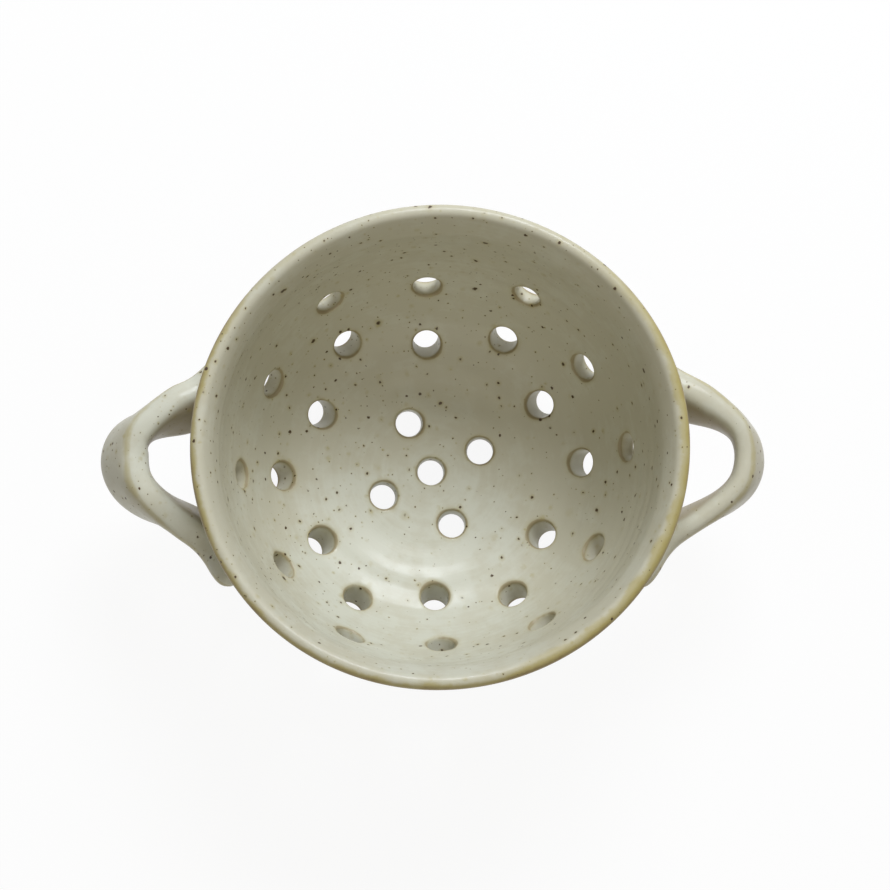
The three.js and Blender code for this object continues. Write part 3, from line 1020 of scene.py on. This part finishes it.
def glaze_flow_group():
    """How thick the glaze lies and how its surface rolls: clouds, faint throwing rings and a fine skin."""
    group, entry, leave = new_group("Glaze Flow", ("Ring Share",), ("Pooling", "Height"))
    vector = entry["Vector"]
    radius = add_vector_math(group, "LENGTH", level_part(group, vector))["Value"]
    way = add_sum(group, radius, axis_parts(group, vector)["Z"])
    wander = add_product(group, add_noise(group, vector, RING_WANDER_SIZE), RING_WANDER)
    rings = add_math(group, "DIVIDE", add_sum(group, way, wander), RING_PITCH)
    values = {"W": rings, "Scale": 1.0, "Detail": 3.0}
    ring_noise = add_node(group, "TexNoise", values, noise_dimensions="1D").outputs[0]
    clouds = add_noise(group, vector, CLOUD_SIZE, detail=4.0, roughness=0.55)
    patches = add_noise(group, vector, PATCH_SIZE, detail=3.0, roughness=0.6)
    skin = add_noise(group, vector, SKIN_SIZE)
    centred = add_math(group, "SUBTRACT", ring_noise, NOISE_MEAN)
    ringing = add_product(group, centred, entry["Ring Share"])
    pooling_and_painted_light = add_product(group, ringing, RING_POOLING)
    pooling_and_painted_light = add_sum(group, pooling_and_painted_light, add_product(group, clouds, CLOUD_POOLING))
    pooling_and_painted_light = add_sum(group, pooling_and_painted_light, add_product(group, patches, PATCH_POOLING))
    height = add_product(group, ringing, RING_HEIGHT)
    height = add_sum(group, height, add_product(group, skin, SKIN_HEIGHT))
    group.links.new(add_ramp(group, pooling_and_painted_light, *POOLED_BETWEEN), leave["Pooling"])
    group.links.new(height, leave["Height"])


def ragged_band_group():
    """A band of a mark's values with a ragged border: where the glaze draws back from an edge, and painted
    shade on the straps' faces.
    """
    group, entry, leave = new_group("Ragged Band", ("Mark", "Start", "End", "Raggedness"), ("Mask",))
    coarse = add_noise(group, entry["Vector"], BAND_BORDER_SIZE, detail=4.0, roughness=0.6)
    centred = add_math(group, "SUBTRACT", coarse, NOISE_MEAN)
    shifted = add_sum(group, entry["Mark"], add_product(group, centred, entry["Raggedness"]))
    group.links.new(add_ramp(group, shifted, entry["Start"], entry["End"]), leave["Mask"])


def place_group(tree, name, values):
    """Places one of the shared node groups, which are built once."""
    if name not in bpy.data.node_groups:
        iron_speckle_group()
        glaze_flow_group()
        ragged_band_group()
    return add_node(tree, "Group", values, node_tree=bpy.data.node_groups[name]).outputs


def colour4(colour):
    return (*colour, 1.0)


def cleared_tree(owner):
    """The node tree of a new material or world, emptied."""
    owner.use_nodes = True
    owner.node_tree.nodes.clear()
    return owner.node_tree


def new_material(name):
    material = bpy.data.materials.new(name)
    tree = cleared_tree(material)
    shader = add_node(tree, "BsdfPrincipled")
    add_node(tree, "OutputMaterial", {"Surface": shader.outputs[0]})
    vector = add_node(tree, "TexCoord").outputs["Object"]
    return material, tree, shader, vector


def finish_surface(tree, shader, colour, roughness, bump):
    """Links a shader's colour and roughness, and the bump given as a height, a strength and a distance."""
    tree.links.new(colour, shader.inputs["Base Color"])
    tree.links.new(roughness, shader.inputs["Roughness"])
    tree.links.new(add_node(tree, "Bump", bump).outputs[0], shader.inputs["Normal"])


def painted_light_on_floor(tree, vector):
    """Painted light and shade: the glaze's colour paler round the spot of the floor's highlight and darker
    away from it, drawn as thicker and thinner glaze.
    """
    away = add_vector_math(tree, "DISTANCE", level_part(tree, vector), PAINTED_LIGHT_CENTRE)["Value"]
    return add_ramp(tree, away, PAINTED_LIGHT_CORE, PAINTED_LIGHT_BORDER, PAINTED_LIGHT_GAIN, PAINTED_SHADE_LOSS)


def glaze_ground(tree, vector, colours, thickness_and_painted_light, ring_share):
    """The glaze's colour with its pooling and a shift, which on the bowl is painted light and shade and on
    the straps a thicker or thinner glaze, before edges break it, and its flow.
    """
    flow = place_group(tree, "Glaze Flow", {"Vector": vector, "Ring Share": ring_share})
    # On the bowl, the shift added here is painted light and shade.
    pooling_and_painted_light = add_math(tree, "ADD", flow["Pooling"], thickness_and_painted_light, clamped=True)
    return add_mix(tree, pooling_and_painted_light, colour4(colours.thin_glaze), colour4(colours.thick_glaze)), flow


def speckled(tree, vector, colours, ground):
    """Lays every kind of iron speck over a colour."""
    towards = add_vector_math(tree, "DOT_PRODUCT", vector, GATHER_WAY)["Value"]
    drift = add_product(tree, add_noise(tree, vector, GATHER_DRIFT_SIZE), GATHER_DRIFT)
    place = add_sum(tree, towards, drift)
    gather = add_ramp(tree, place, GATHER_FROM, GATHER_TO, FEWEST_SPECKS, 1.0)
    for spacing, size, share in SPECK_KINDS:
        values = {"Vector": vector, "Spacing": spacing, "Size": size}
        values["Share"] = add_product(tree, gather, share)
        specks = place_group(tree, "Iron Speckle", values)
        stain = add_product(tree, specks["Stain"], STAIN_STRENGTH)
        ground = add_mix(tree, stain, ground, colour4(colours.tan_break))
        ground = add_mix(tree, specks["Core"], ground, colour4(colours.iron))
    return ground


def finish_glaze(tree, shader, flow, colour):
    roughness = add_ramp(tree, flow["Pooling"], 0.0, 1.0, GLAZE_ROUGHNESS, POOLED_ROUGHNESS)
    finish_surface(tree, shader, colour, roughness, {"Height": flow["Height"], **GLAZE_BUMP})
    shader.inputs["Specular IOR Level"].default_value = GLAZE_SPECULAR
    shader.inputs["Coat Weight"].default_value = GLAZE_COAT
    shader.inputs["Coat Roughness"].default_value = GLAZE_COAT_ROUGHNESS


def read_mark(tree, name):
    return add_node(tree, "Attribute", attribute_name=name).outputs["Fac"]


def band_mask(tree, vector, edge, mark, value_at=float):
    """Where a band lies along a mark, whose value at a place a function gives; bands are glaze breaks, and
    painted shade on the straps' faces.
    """
    values = {
        "Vector": vector,
        "Mark": mark,
        "Start": value_at(edge.start),
        "End": value_at(edge.full),
        "Raggedness": edge.ragged,
    }
    return place_group(tree, "Ragged Band", values)["Mask"]


def lay_band(tree, ground, colours, edge, mask):
    """Lays a band's colour over the ground where its mask is, for a glaze break and for painted shade
    alike.
    """
    share = add_product(tree, mask, edge.strength)
    return add_mix(tree, share, ground, colour4(getattr(colours, edge.colour)))


def lip_value(millimetres):
    """The lip mark's value at a way inside the crest."""
    return 0.5 + millimetres * MM / (2 * LIP_MARK_REACH)


def mouth_value(millimetres):
    """The mouth mark's value at a distance from a hole's edge."""
    return 1 - millimetres * MM / MOUTH_MARK_REACH


def bowl_glaze(colours):
    """The bowl's glaze, with painted light round the near floor's highlight and painted shade away from it,
    which breaks over the lip and round the mouths of the holes.
    """
    material, tree, shader, vector = new_material("bowl_glaze")
    # The floor's painted light and shade go in as a shift of the glaze's colour.
    ground, flow = glaze_ground(tree, vector, colours, painted_light_on_floor(tree, vector), ring_share=1.0)
    mouth = read_mark(tree, "mouth_near")
    for edge in MOUTH_BREAKS:
        mask = band_mask(tree, vector, edge, mouth, mouth_value)
        ground = lay_band(tree, ground, colours, edge, mask)

    lip = read_mark(tree, "lip_place")
    near = add_ramp(tree, read_mark(tree, "lip_near"), *NEAR_LIP)
    on_lip = add_product(tree, near, band_mask(tree, vector, LOW_BORDER, lip, lip_value))
    place = axis_parts(tree, vector)
    right_side = add_product(tree, on_lip, add_ramp(tree, place["X"], *RIGHT_SIDE))
    near_side = add_product(tree, on_lip, add_ramp(tree, place["Y"], *NEAR_SIDE))
    right_crest = add_product(tree, right_side, near_side)
    for edge, within in ((CREST_BREAK, right_crest), *((edge, near_side) for edge in OUTER_BREAKS)):
        mask = add_product(tree, band_mask(tree, vector, edge, lip, lip_value), within)
        ground = lay_band(tree, ground, colours, edge, mask)
    finish_glaze(tree, shader, flow, speckled(tree, vector, colours, ground))
    return material


def strap_glaze(colours):
    """The handles' glaze, with painted shade in brown on the strap's broad faces, and broken along its
    upper outer ridge.
    """
    material, tree, shader, vector = new_material("strap_glaze")
    sideways = axis_parts(tree, vector)["X"]
    thickness_and_painted_light = add_ramp(tree, sideways, -STRAP_PLACE, STRAP_PLACE, LEFT_STRAP_THICKER, RIGHT_STRAP_THINNER)
    ground, flow = glaze_ground(tree, vector, colours, thickness_and_painted_light, ring_share=0.0)
    out = read_mark(tree, "strap_out")
    upwards = add_product(tree, read_mark(tree, "strap_up"), RIDGE_UP)
    ridge = add_sum(tree, upwards, add_product(tree, out, RIDGE_OUT))
    # The outer and inner faces get painted shade in brown; the ridge gets a glaze break.
    for edge, mark in ((OUTER_FACE_PAINTED_SHADE, out), (INNER_FACE_PAINTED_SHADE, out), (RIDGE_BREAK, ridge)):
        ground = lay_band(tree, ground, colours, edge, band_mask(tree, vector, edge, mark))
    finish_glaze(tree, shader, flow, speckled(tree, vector, colours, ground))
    shader.inputs["Specular IOR Level"].default_value = STRAP_SPECULAR
    return material


def foot_clay(colours):
    """The bare foot: toasted clay with grog and a few iron spots."""
    material, tree, shader, vector = new_material("foot_clay")
    grog = add_noise(tree, vector, GROG_SIZE, detail=3.0, roughness=0.7)
    toast = add_noise(tree, vector, TOAST_SIZE, detail=3.0)
    toasted = [channel * share for channel, share in zip(colours.bare_clay, TOASTED_SHARES)]
    clay = add_mix(tree, add_ramp(tree, toast, *TOAST_SHOWS), colour4(colours.bare_clay), colour4(toasted))
    clay = add_mix(tree, add_ramp(tree, grog, *GROG_SHOWS), clay, colour4(colours.brown_break_and_shade))
    roughness = add_ramp(tree, grog, 0.0, 1.0, *GROG_ROUGHNESS)
    colour = speckled(tree, vector, colours, clay)
    finish_surface(tree, shader, colour, roughness, {"Height": grog, **GROG_BUMP})
    return material


def seen_directly(tree):
    """1 for rays from the camera, in reflections and through glass, and 0 for light on the object."""
    path = add_node(tree, "LightPath").outputs
    seen = add_math(tree, "MAXIMUM", path["Is Camera Ray"], path["Is Glossy Ray"])
    return add_math(tree, "MAXIMUM", seen, path["Is Transmission Ray"])


def stage_floor_paper():
    """White paper that shows white and keeps a soft shadow."""
    material = bpy.data.materials.new("stage_paper")
    tree = cleared_tree(material)
    paper = add_node(tree, "BsdfDiffuse", {"Color": FLOOR_PAPER})
    white = add_node(tree, "Emission", {"Color": WHITE, "Strength": 1.0})
    share = add_product(tree, seen_directly(tree), FLOOR_WHITENESS)
    mixed = add_node(tree, "MixShader", {0: share, 1: paper.outputs[0], 2: white.outputs[0]})
    add_node(tree, "OutputMaterial", {"Surface": mixed.outputs[0]})
    return material


class BERRYBOWL_OT_bowl(bpy.types.Operator):
    """Build the pierced bowl"""

    bl_idname = "berry_bowl.bowl"
    bl_label = "Pierced Bowl"

    def execute(self, context):
        profile = WallProfile(context.scene.berry_bowl_sizes)
        glaze = bowl_glaze(context.scene.berry_bowl_colours)
        piece = finished_piece("pierced_bowl", pierced_bowl(profile), glaze, smoothing=1)
        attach(piece, BODY)
        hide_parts("bowl_body")
        return {"FINISHED"}


class BERRYBOWL_OT_foot(bpy.types.Operator):
    """Build the foot ring"""

    bl_idname = "berry_bowl.foot"
    bl_label = "Foot Ring"

    def execute(self, context):
        clay = foot_clay(context.scene.berry_bowl_colours)
        piece = finished_piece("turned_foot", foot_ring(context.scene.berry_bowl_sizes), clay)
        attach(piece, BODY)
        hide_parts("foot_ring")
        return {"FINISHED"}


class BERRYBOWL_OT_handles(bpy.types.Operator):
    """Build the two strap handles"""

    bl_idname = "berry_bowl.handles"
    bl_label = "Strap Handles"

    def execute(self, context):
        profile = WallProfile(context.scene.berry_bowl_sizes)
        glaze = strap_glaze(context.scene.berry_bowl_colours)
        for node, handle in HANDLES.items():
            mesh = strap_handle(profile, context.scene.berry_bowl_straps, handle)
            piece = finished_piece(f"pulled_{node}", mesh, glaze, smoothing=1)
            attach(piece, BODY)
            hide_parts(node)
        return {"FINISHED"}


class BERRYBOWL_OT_stage(bpy.types.Operator):
    """Set up the floor, the light and the camera"""

    bl_idname = "berry_bowl.stage"
    bl_label = "Photo Stage"

    def execute(self, context):
        scene = context.scene
        scene.view_settings.view_transform = "Standard"
        bm = bmesh.new()
        bmesh.ops.create_grid(bm, x_segments=1, y_segments=1, size=FLOOR_SIZE / 2)
        bmesh.ops.translate(bm, verts=bm.verts, vec=(0, 0, -FLOOR_DROP))
        finished_piece("stage_floor", bm, stage_floor_paper())
        self.light_sky(scene)
        for name, softbox in SOFTBOXES.items():
            self.hang_softbox(scene, name, **softbox)
        self.set_camera(scene)
        return {"FINISHED"}

    def light_sky(self, scene):
        scene.world = bpy.data.worlds.new("studio_sky")
        tree = cleared_tree(scene.world)
        seen = seen_directly(tree)
        level = add_ramp(tree, seen, 0.0, 1.0, SKY_LEVEL, 1.0)
        tint = add_mix(tree, seen, SKY_TINT, WHITE)
        sky = add_node(tree, "Background", {"Color": tint, "Strength": level})
        add_node(tree, "OutputWorld", {"Surface": sky.outputs[0]})

    def hang_softbox(self, scene, name, azimuth, elevation, width, depth, power, tint):
        way = turned(rising(math.radians(elevation)), math.radians(azimuth))
        lamp = bpy.data.lights.new(name, "AREA")
        lamp.shape = "RECTANGLE"
        lamp.size = width
        lamp.size_y = depth
        lamp.energy = power
        lamp.color = tint
        softbox = bpy.data.objects.new(name, lamp)
        facing = way.to_track_quat("Z", "Y").to_matrix().to_4x4()
        softbox.matrix_world = Matrix.Translation(way * SOFTBOX_DISTANCE) @ facing
        scene.collection.objects.link(softbox)

    def set_camera(self, scene):
        right = (Vector((1, 0, 0)) - LOOK_FROM * LOOK_FROM.x).normalized()
        up = LOOK_FROM.cross(right)
        camera = bpy.data.objects.new("photo_camera", bpy.data.cameras.new("photo_camera"))
        camera.data.lens = LENS
        camera.data.sensor_width = SENSOR
        camera.data.sensor_fit = "HORIZONTAL"
        turn = Matrix((right, up, LOOK_FROM)).transposed().to_4x4()
        camera.matrix_world = Matrix.Translation(AIM + LOOK_FROM * CAMERA_DISTANCE) @ turn
        scene.collection.objects.link(camera)
        scene.camera = camera


class BERRYBOWL_PT_panel(bpy.types.Panel):
    """Lists the bowl's pieces, sizes and colours"""

    bl_idname = "BERRYBOWL_PT_panel"
    bl_label = "Berry Bowl"
    bl_space_type = "VIEW_3D"
    bl_region_type = "UI"
    bl_category = "Berry Bowl"

    def draw(self, context):
        layout = self.layout
        for group in ("berry_bowl_sizes", "berry_bowl_straps", "berry_bowl_colours"):
            settings = getattr(context.scene, group)
            column = layout.column(align=True)
            for name in settings.__annotations__:
                column.prop(settings, name)
        for operator in PIECE_OPERATORS:
            layout.operator(operator.bl_idname)


PIECE_OPERATORS = (BERRYBOWL_OT_bowl, BERRYBOWL_OT_foot, BERRYBOWL_OT_handles, BERRYBOWL_OT_stage)
CLASSES = (BowlSizes, StrapSizes, FinishColours, *PIECE_OPERATORS, BERRYBOWL_PT_panel)


def register():
    for each in CLASSES:
        bpy.utils.register_class(each)
    bpy.types.Scene.berry_bowl_sizes = bpy.props.PointerProperty(type=BowlSizes)
    bpy.types.Scene.berry_bowl_straps = bpy.props.PointerProperty(type=StrapSizes)
    bpy.types.Scene.berry_bowl_colours = bpy.props.PointerProperty(type=FinishColours)


def unregister():
    del bpy.types.Scene.berry_bowl_colours
    del bpy.types.Scene.berry_bowl_straps
    del bpy.types.Scene.berry_bowl_sizes
    for each in reversed(CLASSES):
        bpy.utils.unregister_class(each)


def main():
    register()
    bpy.ops.berry_bowl.bowl()
    bpy.ops.berry_bowl.foot()
    bpy.ops.berry_bowl.handles()
    bpy.ops.berry_bowl.stage()


if __name__ == "__main__":
    main()
